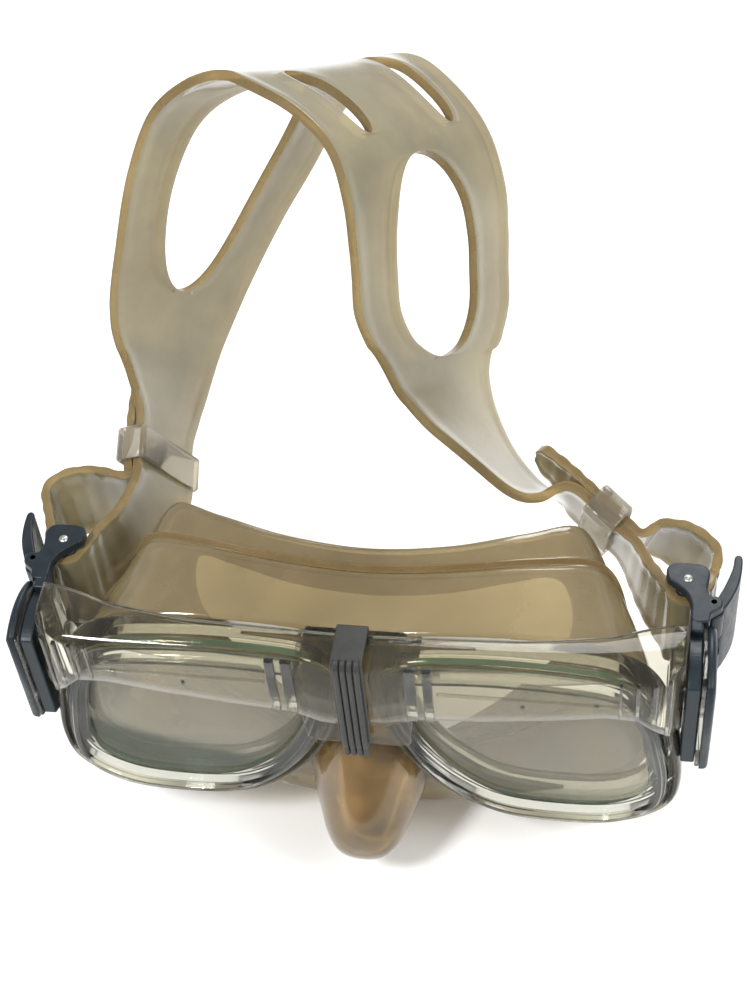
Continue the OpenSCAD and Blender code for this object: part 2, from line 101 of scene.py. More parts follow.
# ---------------------------------------------------------------- meshes
def piece(name, verts, faces, mats, body, slot, nodes=(), smooth=True, face_mats=None, weld=0.0):
    """Mesh from points in mm, riding on a body."""
    mesh = bpy.data.meshes.new(name)
    points = [tuple(v) for v in np.asarray(verts, float) * MM]
    mesh.from_pydata(points, [], [list(map(int, f)) for f in faces])
    obj = bpy.data.objects.new(name, mesh)
    bpy.context.scene.collection.objects.link(obj)
    for m in mats:
        mesh.materials.append(m)
    if face_mats is not None:
        mesh.polygons.foreach_set("material_index", [int(v) for v in face_mats])
    bm = bmesh.new()
    bm.from_mesh(mesh)
    if weld:
        bmesh.ops.remove_doubles(bm, verts=bm.verts, dist=weld * MM)
    bmesh.ops.recalc_face_normals(bm, faces=bm.faces)
    bm.to_mesh(mesh)
    bm.free()
    mesh.polygons.foreach_set("use_smooth", [smooth] * len(mesh.polygons))
    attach(obj, body)
    if nodes:
        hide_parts(*nodes)
    return obj


def modify(obj, kind, **values):
    """Modifier added to a piece, with its settings."""
    m = obj.modifiers.new(kind.lower(), kind)
    for k, v in values.items():
        setattr(m, k, v)


def bevel(obj, width, segments=3, angle=35):
    """Eased edges where faces meet at more than an angle."""
    modify(obj, "BEVEL", width=width * MM, segments=segments, limit_method="ANGLE",
           angle_limit=math.radians(angle), harden_normals=True)


def grid_faces(rows, cols, wrap_rows=False, wrap_cols=False):
    """Four-cornered faces between the points of a grid."""
    out = []
    for j in range(rows if wrap_rows else rows - 1):
        for i in range(cols if wrap_cols else cols - 1):
            j2, i2 = (j + 1) % rows, (i + 1) % cols
            out.append((j * cols + i, j * cols + i2, j2 * cols + i2, j2 * cols + i))
    return out


def tube_faces(rings, n):
    """Faces of a tube of rings with n points each, closed at both ends."""
    ends = [list(range(n)), list(range((rings - 1) * n, rings * n))[::-1]]
    return grid_faces(rings, n, wrap_cols=True) + ends


def prism(outline, a, b, axis):
    """Points and faces of a flat outline pushed from a to b along an axis."""
    o = np.asarray(outline, float)
    n = len(o)
    pts = []
    for d in (a, b):
        col = np.full(n, d)
        if axis == "z":
            pts.append(np.stack([o[:, 0], o[:, 1], col], 1))
        elif axis == "y":
            pts.append(np.stack([o[:, 0], col, o[:, 1]], 1))
        else:
            pts.append(np.stack([col, o[:, 0], o[:, 1]], 1))
    faces = [list(range(n))[::-1], list(range(n, 2 * n))]
    faces += [(i, (i + 1) % n, n + (i + 1) % n, n + i) for i in range(n)]
    return np.vstack(pts), faces


def merged(*parts):
    """One list of points and faces from several."""
    verts, faces, base = [], [], 0
    for v, f in parts:
        verts.append(np.asarray(v, float))
        faces += [[i + base for i in face] for face in f]
        base += len(v)
    return np.vstack(verts), faces


def flipped(part, k):
    """Points and faces with x multiplied by k."""
    v = np.array(part[0], float)
    v[:, 0] *= k
    return v, part[1]


def circle(cx, cy, r, n, start=0.0, end=360.0):
    """Points on a circle, or on an arc between two angles in degrees."""
    t = np.radians(np.linspace(start, end, n, endpoint=(end - start) < 360))
    return np.stack([cx + r * np.cos(t), cy + r * np.sin(t)], 1)


def rod(r, x0, x1, cy, cz, n, rim):
    """Round bar along X with eased ends."""
    rings = []
    for x, q in ((x0, r - rim), (x0 + rim, r), (x1 - rim, r), (x1, r - rim)):
        c = circle(cy, cz, q, n)
        rings.append(np.stack([np.full(n, x), c[:, 0], c[:, 1]], 1))
    return np.vstack(rings), tube_faces(len(rings), n)


def post(r, z0, z1, axis, n, rim, hole=0.0):
    """Round bar along Z with eased ends, hollow if hole is set."""
    prof = [(z0, r - rim), (z0 + rim, r), (z1 - rim, r), (z1, r - rim)]
    if hole:
        prof += [(z1, hole), (z0, hole)]
    rings = []
    for z, q in prof:
        c = circle(*axis, q, n)
        rings.append(np.stack([c[:, 0], c[:, 1], np.full(n, z)], 1))
    faces = grid_faces(len(prof), n, True, True) if hole else tube_faces(len(prof), n)
    return np.vstack(rings), faces


# ---------------------------------------------------------------- materials
def nodes_of(name):
    """New material with an empty node tree and its output."""
    mat = bpy.data.materials.new(name)
    mat.use_nodes = True
    nt = mat.node_tree
    nt.nodes.clear()
    return mat, nt, nt.nodes.new("ShaderNodeOutputMaterial")


def noise(nt, scale, detail=3.0, rough=0.5):
    """Noise in the piece's own space."""
    n = nt.nodes.new("ShaderNodeTexNoise")
    n.inputs["Scale"].default_value = scale
    n.inputs["Detail"].default_value = detail
    n.inputs["Roughness"].default_value = rough
    nt.links.new(nt.nodes.new("ShaderNodeTexCoord").outputs["Object"], n.inputs["Vector"])
    return n.outputs["Fac"]


def ramp(nt, fac, stops):
    """Colours set at places along a value."""
    r = nt.nodes.new("ShaderNodeValToRGB")
    for e, (pos, col) in zip(r.color_ramp.elements, stops):
        e.position = pos
        e.color = (*col, 1)
    nt.links.new(fac, r.inputs["Fac"])
    return r.outputs["Color"]


def level(nt, fac, a, b, c, d):
    """Value from the range a to b brought to the range c to d."""
    m = nt.nodes.new("ShaderNodeMapRange")
    for k, v in zip(("From Min", "From Max", "To Min", "To Max"), (a, b, c, d)):
        m.inputs[k].default_value = v
    nt.links.new(fac, m.inputs["Value"])
    return m.outputs["Result"]


def bump(nt, height, strength, distance):
    b = nt.nodes.new("ShaderNodeBump")
    b.inputs["Strength"].default_value = strength
    b.inputs["Distance"].default_value = distance
    nt.links.new(height, b.inputs["Height"])
    return b.outputs["Normal"]


def principled(nt, **values):
    p = nt.nodes.new("ShaderNodeBsdfPrincipled")
    for k, v in values.items():
        p.inputs[k.replace("_", " ")].default_value = v
    return p


def blend(nt, fac, first, second):
    """Shader that goes from first to second."""
    mix = nt.nodes.new("ShaderNodeMixShader")
    nt.links.new(fac, mix.inputs["Fac"])
    nt.links.new(first.outputs[0], mix.inputs[1])
    nt.links.new(second.outputs[0], mix.inputs[2])
    return mix


def see_through(name, colour, dark, tint, body, rough, spots=0.0, spec=0.5, grain=0.0, scale=60.0,
                start=0.0, shine=0.0):
    """Tinted, partly clear moulding.

    body is how solid it looks face on and at a glancing angle, start where that rise begins, tint the
    colour of what is seen through it, spots the strength of cloudy patches, shine the index of a
    glossy skin.
    """
    mat, nt, out = nodes_of(name)
    patch = noise(nt, scale, 4.0, 0.6)
    col = ramp(nt, patch, [(0.3, dark), (0.7, colour)])
    p = principled(nt, Specular_IOR_Level=spec)
    nt.links.new(col, p.inputs["Base Color"])
    worn = level(nt, noise(nt, scale * 1.5, 2.0), 0.3, 0.7, rough * 0.7, rough * 1.5)
    nt.links.new(worn, p.inputs["Roughness"])
    nt.links.new(bump(nt, noise(nt, scale * 12, 3.0), grain, 0.0004), p.inputs["Normal"])
    clear = nt.nodes.new("ShaderNodeBsdfTransparent")
    clear.inputs["Color"].default_value = (*tint, 1)
    lw = nt.nodes.new("ShaderNodeLayerWeight")
    lw.inputs["Blend"].default_value = 0.45
    solid = level(nt, lw.outputs["Facing"], start, 1.0, *body)
    if spots:
        cloud = level(nt, noise(nt, scale * 0.6, 5.0, 0.65), 0.5, 0.75, 0.0, spots)
        add = nt.nodes.new("ShaderNodeMath")
        add.operation = "ADD"
        add.use_clamp = True
        nt.links.new(solid, add.inputs[0])
        nt.links.new(cloud, add.inputs[1])
        solid = add.outputs[0]
    mix = blend(nt, solid, clear, p)
    if shine:
        edge = nt.nodes.new("ShaderNodeFresnel")
        edge.inputs["IOR"].default_value = shine
        gloss = nt.nodes.new("ShaderNodeBsdfGlossy")
        gloss.inputs["Roughness"].default_value = rough
        mix = blend(nt, edge.outputs[0], mix, gloss)
    nt.links.new(mix.outputs[0], out.inputs["Surface"])
    return mat


def solid_plastic(name, colour, light, rough, grain, scuff):
    """Opaque moulded plastic with fine grain and rubbed, paler patches."""
    mat, nt, out = nodes_of(name)
    fine = noise(nt, 400.0, 4.0, 0.6)
    wear = level(nt, noise(nt, 70.0, 5.0, 0.7), 0.52, 0.74, 0.0, scuff)
    base = ramp(nt, fine, [(0.35, colour), (0.75, tuple(min(1, c * 1.25) for c in colour))])
    m = nt.nodes.new("ShaderNodeMix")
    m.data_type = "RGBA"
    nt.links.new(wear, m.inputs[0])
    nt.links.new(base, m.inputs[6])
    m.inputs[7].default_value = (*light, 1)
    p = principled(nt, Specular_IOR_Level=0.3)
    nt.links.new(m.outputs[2], p.inputs["Base Color"])
    nt.links.new(level(nt, fine, 0.3, 0.7, rough * 0.8, rough * 1.25), p.inputs["Roughness"])
    nt.links.new(bump(nt, noise(nt, 800.0, 3.0), grain, 0.0002), p.inputs["Normal"])
    nt.links.new(p.outputs[0], out.inputs["Surface"])
    return mat


def metal(name, colour, rough):
    """Drawn steel with faint, fine scratches."""
    mat, nt, out = nodes_of(name)
    fine = noise(nt, 900.0, 3.0)
    p = principled(nt, Metallic=1.0)
    shade = ramp(nt, noise(nt, 200.0), [(0.3, tuple(c * 0.75 for c in colour)), (0.7, colour)])
    nt.links.new(shade, p.inputs["Base Color"])
    nt.links.new(level(nt, fine, 0.3, 0.7, rough * 0.7, rough * 1.4), p.inputs["Roughness"])
    nt.links.new(bump(nt, fine, 0.15, 0.0001), p.inputs["Normal"])
    nt.links.new(p.outputs[0], out.inputs["Surface"])
    return mat


STRAP = see_through(
    "strap_silicone", colour=(0.36, 0.32, 0.195), dark=(0.23, 0.20, 0.125), tint=(0.78, 0.705, 0.49),
    body=(0.55, 0.92), rough=0.18, spec=0.7, scale=26.0, shine=1.3)
STRAP_EDGE = see_through(
    "strap_edge", colour=(0.33, 0.245, 0.115), dark=(0.23, 0.16, 0.07), tint=(0.76, 0.62, 0.37),
    body=(0.5, 0.88), rough=0.24, grain=0.05)
SKIRT = see_through(
    "skirt_silicone", colour=(0.40, 0.325, 0.185), dark=(0.20, 0.15, 0.075), tint=(0.72, 0.63, 0.43),
    body=(0.44, 0.94), rough=0.11, spec=0.8, scale=20.0, shine=1.33)
NOSE = see_through(
    "nose_silicone", colour=(0.38, 0.235, 0.085), dark=(0.10, 0.075, 0.035), tint=(0.80, 0.64, 0.38),
    body=(0.45, 0.92), rough=0.1, spec=0.8, scale=75.0, shine=1.33)
CLEAR = see_through(
    "clear_plastic", colour=(0.42, 0.39, 0.31), dark=(0.16, 0.15, 0.11), tint=(0.95, 0.935, 0.87),
    body=(0.02, 0.72), rough=0.06, spots=0.05, spec=1.0, scale=30.0, start=0.35, shine=1.34)
RING = see_through(
    "ring_plastic", colour=(0.46, 0.46, 0.42), dark=(0.12, 0.12, 0.10), tint=(0.92, 0.92, 0.87),
    body=(0.03, 0.9), rough=0.04, spots=0.04, spec=1.0, scale=40.0, start=0.3, shine=1.42)
GLASS = see_through(
    "lens_glass", colour=(0.34, 0.32, 0.25), dark=(0.20, 0.19, 0.145), tint=(0.93, 0.915, 0.85),
    body=(0.1, 0.5), rough=0.03, spots=0.16, spec=1.0, scale=22.0, start=0.2, shine=1.18)
GLASS_EDGE = see_through(
    "lens_edge", colour=(0.07, 0.19, 0.145), dark=(0.03, 0.10, 0.075), tint=(0.25, 0.5, 0.4),
    body=(0.9, 0.98), rough=0.15, grain=0.05)
KEEPER = see_through(
    "keeper_plastic", colour=(0.46, 0.42, 0.34), dark=(0.26, 0.23, 0.17), tint=(0.90, 0.86, 0.77),
    body=(0.22, 0.9), rough=0.14, spec=0.9, start=0.1, shine=1.14)
SLATE = solid_plastic("clip_plastic", (0.033, 0.034, 0.031), (0.07, 0.072, 0.066), 0.4, 0.08, 0.15)
NAVY = solid_plastic("buckle_plastic", (0.011, 0.018, 0.024), (0.028, 0.038, 0.046), 0.36, 0.1, 0.25)
STEEL = metal("pin_steel", (0.62, 0.62, 0.6), 0.3)


# ---------------------------------------------------------------- measures
END_W = 24.0      # width of the strap's ends
LAYER = 1.4       # from the middle of a keeper to each layer of strap
STRAIGHT = 9.0    # straight stretch on each side of a keeper's middle
TIP_REACH = 24.0  # from a keeper's middle to the loose tip
TURN_R = 4.5      # radius of the strap's middle surface around a roller
TURN_Z = 22.5     # middle height of the strap between the yoke plates
STRAP_T = 2.2     # thickness of the strap
KEY_STEPS = 3     # steps of the route between two keys
# keeper loops: centre, heading and slope of the strap through it, and those of its width
KEEPER_LEFT = ((-62, 24, 29), (95, 20), (45, -60))
KEEPER_RIGHT = ((56, 11, 30), (-35, -20), (105, -60))
# keys of the head arch: centre, heading and slope along it, pull, those across it, and width
ARCH_KEYS = [
    ((-63, 58, 47), (70, 50), 12, (50, -50), 46),
    ((-45, 88, 87), (35, 45), 14, (55, -35), 70),
    ((-15, 89, 106), (-30, -10), 14, (65, -25), 71),
    ((8, 66, 88), (-75, -50), 14, (60, -30), 71),
    ((11, 48, 66), (-80, -50), 10, (60, -30), 68),
    ((15, 35, 51), (-60, -50), 8, (60, -35), 42),
    ((34, 18, 35), (-30, -25), 8, (85, -35), 25),
]
# glass outline of the right lens, clockwise in x and z
LENS = [
    (10, 29), (28, 32), (50, 31.5), (63.5, 28.5), (69.5, 19), (72, 8), (73.5, -5), (71.5, -15),
    (62, -22), (47, -23.5), (34, -21.5), (24, -14.5), (16, -4), (10.5, 9), (8.5, 20),
]
# half loops of the skirt from the top centre to the bottom centre, y from the glass plane
SKIRT_FRONT = [
    (0, 7.2, 33), (22, 7.2, 35), (46, 7.2, 35.5), (64, 7.2, 31), (71, 7.2, 18), (71.5, 7.2, 0),
    (66, 7.2, -15), (50, 7.2, -24), (32, 7.2, -30), (15, 7.2, -35), (0, 7.2, -36.5),
]
SKIRT_WAIST = [
    (0, 20, 36), (20, 20, 37.5), (42, 22, 38), (58, 25, 33), (64.5, 27, 18), (65, 28, 0), (60, 28, -17),
    (46, 27, -29), (29, 25, -38), (14, 23, -41), (0, 22, -42),
]
SKIRT_EDGE = [
    (0, 30, 39), (20, 31.5, 40), (38, 36, 41), (51, 41, 38.5), (55.5, 43, 19), (56, 44, 0),
    (52, 44, -17), (42, 42, -31), (27, 38, -41), (13, 33, -44), (0, 31, -44),
]
SKIRT_LIP = [
    (0, 27, 26), (18, 28, 27), (34, 32, 28), (44, 36, 26), (48.5, 38, 15), (49, 39, 0), (44, 39, -13),
    (35, 37, -24), (23, 33, -33), (11, 28, -37), (0, 26, -37),
]
# blade of the right release lever, from above
LEVER_OUTLINE = [
    (83.4, -16.4), (84.4, -14.2), (86, -10.4), (87.6, -5.4), (88.2, -1.6), (89.8, -1.6), (89.9, -5),
    (89.2, -10), (87.6, -14.6), (85.5, -18.2)
]
# points of a smooth outline between two of its listed points
STEPS = 8
LENS_LINE = loop(LENS, STEPS)


# ---------------------------------------------------------------- head strap
def toward(way):
    """Direction from a heading round Z and a slope above level, in degrees."""
    a, e = math.radians(way[0]), math.radians(way[1])
    return np.array([math.cos(a) * math.cos(e), math.sin(a) * math.cos(e), math.sin(e)])


def frame_row(centre, across, width=END_W):
    """Strap's centre, direction across and width in one row."""
    return [*centre, *across, width]


def through(keeper, side, s, width=END_W):
    """Strap frame in a keeper: side 1 is the outer layer, -1 the inner one."""
    t, a = toward(keeper[1]), toward(keeper[2])
    d = unit(a - t * np.dot(a, t))
    return frame_row(np.array(keeper[0]) + np.cross(t, d) * LAYER * side + t * s, a, width)


def level_row(x, y, z):
    """Strap standing on its edge."""
    return frame_row((x, y, z), (0, 0, -1))


def half_turn(k):
    """Strap round the roller on side k, from its outer to its inner run."""
    turn = [(math.cos(q), math.sin(q)) for q in np.radians(np.arange(0, 181, 45))]
    return [level_row(k * (ROLLER[0] + TURN_R * c), ROLLER[1] - TURN_R * s, TURN_Z) for c, s in turn]


def between(p, q, t):
    """Strap frame at share t of the way between two keys."""
    e = t * (1 + 3 * t - 2 * t * t) / 2
    a, d = np.array(p[0], float), np.array(q[0], float)
    b, c = a + toward(p[1]) * p[2], d - toward(q[1]) * q[2]
    centre = (1 - t)**3 * a + 3 * (1 - t)**2 * t * b + 3 * (1 - t) * t * t * c + t**3 * d
    across = unit(toward(p[3]) * (1 - e) + toward(q[3]) * e)
    return frame_row(centre, across, p[4] * (1 - e) + q[4] * e)


def strap_route():
    """Centre, direction across and width at each step, and the step where the arch starts."""
    left, right = KEEPER_LEFT, KEEPER_RIGHT
    # distance from the keeper and width of the strap near its rounded tip
    tip = [(TIP_REACH, 8), (TIP_REACH - 2, 18), (TIP_REACH - 6, 22)]
    start = [through(left, 1, s, w) for s, w in tip]
    start += [through(left, 1, s) for s in (STRAIGHT, 0, -STRAIGHT)]
    start += [
        frame_row((-66, 13.5, 25), (0.3, 0.2, -0.93)), frame_row((-75, 13.5, 25), (0.1, 0.1, -1)),
        level_row(-83, 11, 24.5), level_row(-86.5, 5.5, 23.5), level_row(-83, -5, TURN_Z)
    ]
    start += half_turn(-1)
    start += [level_row(-70, -5, TURN_Z), frame_row((-65, 3, 23.5), (0.1, 0.1, -1))]
    start += [through(left, -1, s) for s in (-STRAIGHT, 0)]
    keys = [(through(left, -1, STRAIGHT)[:3], left[1], 8, left[2], END_W)] + ARCH_KEYS
    keys += [(through(right, -1, -STRAIGHT)[:3], right[1], 5, right[2], END_W)]
    arch = [between(p, q, i / KEY_STEPS) for p, q in zip(keys, keys[1:]) for i in range(KEY_STEPS)]
    end = [through(right, -1, s) for s in (-STRAIGHT, 0, STRAIGHT)]
    end += [frame_row((67.5, -4, 23.5), (0, 0.1, -1))] + half_turn(1)[::-1]
    end += [
        level_row(83.5, -5, TURN_Z), level_row(82.5, 1.5, 24),
        frame_row((77, 7, 26), (0, 0.2, -0.98)), frame_row((69, 9, 27.5), (-0.1, 0.4, -0.9))
    ]
    end += [through(right, 1, s) for s in (STRAIGHT, 0, -STRAIGHT)]
    end += [through(right, 1, -s, w) for s, w in [(TIP_REACH - 10, 24)] + tip[::-1]]
    return np.array(start + arch + end, float), len(start)


ROUTE, ARCH_START = strap_route()
# steps over which the two large openings and the two slits run
OPEN_A = (ARCH_START + 3.6, ARCH_START + 7.7)
OPEN_B = (ARCH_START + 11.2, ARCH_START + 16.8)
SLITS = (ARCH_START + 8.4, ARCH_START + 10.7)
# steps where the left inner run and the right roller's turn start
INNER_LEFT = ARCH_START - 4.0
RIGHT_TURN = ARCH_START + KEY_STEPS * (len(ARCH_KEYS) + 1) + 3.0


def within(u, span):
    return (u > span[0]) & (u < span[1])


def bow(u, span):
    """Share of full width of an opening at step u: rounded ends, slack sides."""
    t = np.abs((2 * u - span[0] - span[1]) / (span[1] - span[0]))
    return np.where(t < 1, np.sqrt(np.clip(1 - t**2.8, 0, 1)), 0)


def strap_rows():
    """Steps at which the strap gets a row of points, closer together where an opening ends."""
    u = [np.arange(0, len(ROUTE) - 1 + 1e-6, 0.1)]
    for lo, hi in (OPEN_A, OPEN_B, SLITS):
        u.append(lo + (hi - lo) * (1 - np.cos(np.linspace(0, math.pi, 60))) / 2)
    return np.unique(np.round(np.concatenate(u), 4))


def strap_limits(u):
    """Shares across the strap where the four inner limits run at each step."""
    lim = np.full((len(u), 4), 0.5)
    big = 0.265 * np.maximum(bow(u, OPEN_A), bow(u, OPEN_B))
    lim[:, :2] -= big[:, None]
    lim[:, 2:] += big[:, None]
    slot = 0.058 * bow(u, SLITS)
    mid = within(u, (OPEN_A[1], OPEN_B[0]))
    k = smoothstep(u, OPEN_A[1], SLITS[0]) * (1 - smoothstep(u, SLITS[1], OPEN_B[0]))
    for j, (centre, sign) in enumerate(((0.25, -1), (0.25, 1), (0.785, -1), (0.785, 1))):
        lim[mid, j] = 0.5 + (centre - 0.5) * k[mid] + sign * slot[mid]
    return lim


def strap_thickness(u, shares, lim, width, length):
    """Share of full thickness: a raised rim along every edge, bars across the tails."""
    big, slit = within(u, OPEN_A) | within(u, OPEN_B), within(u, SLITS)
    edge_mm = np.minimum(shares, 1 - shares) * width[:, None]
    for j in range(shares.shape[1]):
        for k in range(4):
            live = big | slit if k in (0, 3) else slit
            gap_mm = np.abs(shares[:, j] - lim[:, k]) * width
            edge_mm[:, j] = np.where(live, np.minimum(edge_mm[:, j], gap_mm), edge_mm[:, j])
    thick = 0.74 + 0.26 * (1 - smoothstep(edge_mm, 1.6, 3.4))
    tail = (1 - smoothstep(u, INNER_LEFT, INNER_LEFT + 2)) + smoothstep(u, RIGHT_TURN - 2, RIGHT_TURN)
    bars = np.abs(np.cos(length[:, None] * math.pi / 4.6)) ** 3
    return np.where(tail[:, None] > 0, thick * (1 - 0.2 * tail[:, None] * bars), thick)


def make_strap():
    """Band of five strips between the strap's edges and its openings, thickened row by row."""
    u = strap_rows()
    c = spline(ROUTE[:, :3], u)
    t = unit(spline(ROUTE[:, :3], u + 0.05) - spline(ROUTE[:, :3], u - 0.05))
    d = spline(ROUTE[:, 3:6], u)
    d = unit(d - t * (d * t).sum(1)[:, None])
    width = spline(ROUTE[:, 6:7], u)[:, 0]
    lim = strap_limits(u)
    # five bands across the strap: rail, gap, core, gap, rail
    rail = np.array([0, 0.05, 0.12, 0.2, 0.32, 0.5, 0.68, 0.8, 0.88, 0.95, 1])
    core = np.linspace(0, 1, 9)
    ends = np.concatenate([np.zeros((len(u), 1)), lim, np.ones((len(u), 1))], 1)
    shares, band = [], []
    for s, f in enumerate((rail, [0, 1], core, [0, 1], rail)):
        for q in (f if s == 4 else f[:-1]):
            shares.append(ends[:, s] + (ends[:, s + 1] - ends[:, s]) * q)
            band.append(s)
    shares = np.stack(shares, 1)
    n, m = shares.shape
    length = np.concatenate([[0], np.cumsum(np.linalg.norm(np.diff(c, axis=0), axis=1))])
    pts = c[:, None] + d[:, None] * ((shares - 0.5) * width[:, None])[..., None]
    mids = (u[:-1] + u[1:]) / 2
    in_big, in_slit = within(mids, OPEN_A) | within(mids, OPEN_B), within(mids, SLITS)
    faces = []
    for j in range(n - 1):
        for i in range(m - 1):
            s = band[i]
            if (in_big[j] and s in (1, 2, 3)) or (in_slit[j] and s in (1, 3)):
                continue
            faces.append((j * m + i, j * m + i + 1, (j + 1) * m + i + 1, (j + 1) * m + i))
    obj = piece("strap_band", pts.reshape(-1, 3), faces, [STRAP, STRAP_EDGE], "strap", "strap_silicone",
                ["head_strap"], weld=0.004)
    # the thickness goes to the nearest vertex, because welding has renumbered them
    flat_pts = pts.reshape(-1, 3)
    flat_thick = strap_thickness(u, shares, lim, width, length).reshape(-1)
    near = KDTree(len(flat_pts))
    for k, p in enumerate(flat_pts):
        near.insert(p * MM, k)
    near.balance()
    group = obj.vertex_groups.new(name="thick")
    for v in obj.data.vertices:
        group.add([v.index], float(flat_thick[near.find(v.co)[1]]), "REPLACE")
    modify(obj, "SOLIDIFY", thickness=STRAP_T * 1.12 * MM, offset=0.0, use_even_offset=False,
           material_offset_rim=1, vertex_group="thick", thickness_vertex_group=0.0)
    modify(obj, "BEVEL", width=0.35 * MM, segments=2, limit_method="ANGLE", angle_limit=math.radians(50))


make_strap()


# ---------------------------------------------------------------- skirt
def half_loop(points):
    """Whole loop from the half on the right of the middle."""
    p = np.asarray(points, float)
    return np.vstack([p, p[-2:0:-1] * [-1, 1, 1]])


def round_lens(profile, k):
    """Closed profile of (outward distance, depth behind the glass plane) carried round a lens."""
    rows = []
    for d, y in profile:
        o = grow(LENS_LINE, d)
        rows.append(np.stack([k * o[:, 0], np.full(len(o), LENS_Y + y), o[:, 1]], 1))
    return np.vstack(rows)


def swept(profile, k):
    """Points and faces of that solid."""
    return round_lens(profile, k), grid_faces(len(profile), len(LENS_LINE), True, True)


def make_skirt():
    """Wall from the front loop over the waist to the soft edge and its lip."""
    halves = (SKIRT_FRONT, SKIRT_WAIST, SKIRT_EDGE, SKIRT_LIP)
    stack = np.stack([loop(half_loop(v), STEPS) + [0, LENS_Y, 0] for v in halves])
    n = stack.shape[1]
    ridge = 1.36        # place of the amber ridge between the waist and the edge
    rows = np.concatenate([np.linspace(0, 1.24, 22), np.linspace(ridge - 0.1, ridge + 0.1, 17),
                           np.linspace(1.5, 1.9, 8), np.linspace(1.93, 2.1, 6), np.linspace(2.16, 3, 14)])
    grid = np.stack([spline(stack[:, i], rows) for i in range(n)], 1)
    # moulded step round the wall, ahead of the soft edge, and the ridge behind it
    along = np.roll(grid, -1, 1) - np.roll(grid, 1, 1)
    normal = unit(np.stack([-along[..., 2], np.zeros(along.shape[:2]), along[..., 0]], -1))
    step = 0.9 * (1 - smoothstep(rows, 1.22, 1.34)) * smoothstep(rows, 0.0, 0.12)
    step += 1.5 * np.exp(-((rows - ridge) / 0.035)**2)
    grid += normal * step[:, None, None]
    on_ridge = (np.abs(rows[:-1] - ridge) < 0.04).astype(int)
    obj = piece("skirt_wall", grid.reshape(-1, 3), grid_faces(len(rows), n, wrap_cols=True),
                [SKIRT, STRAP_EDGE], "mask", "skirt_silicone", ["skirt"],
                face_mats=[int(v) for v in np.repeat(on_ridge, n)])
    modify(obj, "SOLIDIFY", thickness=1.6 * MM, offset=-1.0, material_offset_rim=1)
    modify(obj, "BEVEL", width=0.3 * MM, segments=2, limit_method="ANGLE", angle_limit=math.radians(55))
    seat = [(1.0, 7.2), (-2.4, 7.2), (-2.4, 9.4), (1.0, 9.4)]
    for side, k in SIDES:
        piece("skirt_seat_" + side, *swept(seat, k), [SKIRT], "mask", "skirt_silicone")


make_skirt()


NOSE_POINTS = 72    # points round a section of the nose pocket


def nose_ring(y, z, w, h):
    """Section of the nose pocket at depth y: narrow at the bridge, full at the nostrils."""
    a = np.linspace(0, 2 * math.pi, NOSE_POINTS, endpoint=False)
    s, q = np.sin(a), np.cos(a)
    width = w * (0.80 - 0.26 * s) * (1 + 0.05 * np.cos(2 * a))
    return np.stack([width * np.sign(q) * np.abs(q)**0.9, np.full(NOSE_POINTS, LENS_Y + y),
                     z + h * np.sign(s) * np.abs(s)**0.9], 1)


def make_nose():
    """Nose pocket: rounded sections from the front wall down and forward."""
    # depth and height of each section, half width and half height
    sections = np.array([
        (7.6, -12.0, 18.4, 17.8), (4.0, -13.0, 17.5, 17.0), (-1.0, -15.5, 15.6, 16.0),
        (-6.0, -18.5, 13.4, 14.2), (-11.0, -21.5, 11.0, 11.6), (-14.6, -23.5, 8.0, 8.4),
        (-16.2, -24.5, 4.2, 4.4), (-16.6, -24.8, 0.2, 0.2)
    ])
    rows = [nose_ring(*c) for c in spline(sections, np.linspace(0, len(sections) - 1, 46))]
    obj = piece("nose_pocket", np.vstack(rows), grid_faces(len(rows), NOSE_POINTS, wrap_cols=True),
                [NOSE, STRAP_EDGE], "mask", "skirt_silicone", weld=0.01)
    modify(obj, "SOLIDIFY", thickness=1.6 * MM, offset=-1.0)
    make_front_wall(rows[0])


def make_front_wall(mouth):
    """Front wall between the lenses, round the mouth of the nose pocket."""
    mouth = mouth[np.argsort(mouth[:, 2])]
    mouth = mouth[mouth[:, 0] >= 0]
    # the lens's inner side, from the outline's tenth point back to its second
    chain = np.vstack([LENS_LINE[9 * STEPS:], LENS_LINE[:STEPS + 1]])
    joint = -23.8       # height where the wall's side passes from the skirt's front loop to the lens
    low = loop(half_loop(SKIRT_FRONT), STEPS)
    low = low[(low[:, 0] >= 0) & (low[:, 2] < joint)]
    low = low[np.argsort(low[:, 2])]
    zs = np.linspace(low[0, 2] + 0.2, 32, 80)
    outer = np.where(zs < joint, np.interp(zs, low[:, 2], low[:, 0]),
                     np.interp(zs, chain[:, 1], chain[:, 0]) + 0.4)
    inner = np.interp(zs, mouth[:, 2], mouth[:, 0], left=0, right=0)
    share = np.linspace(0, 1, 14)
    x = inner[:, None] + (outer - inner)[:, None] * share
    z = np.repeat(zs[:, None], len(share), 1)
    wall = np.stack([x, np.full(x.shape, LENS_Y + 7.4), z], -1).reshape(-1, 3)
    half = (wall, grid_faces(len(zs), len(share)))
    obj = piece("skirt_front", *merged(flipped(half, 1), flipped(half, -1)), [SKIRT, STRAP_EDGE],
                "mask", "skirt_silicone", weld=0.01)
    modify(obj, "SOLIDIFY", thickness=1.8 * MM, offset=0.0)


make_nose()


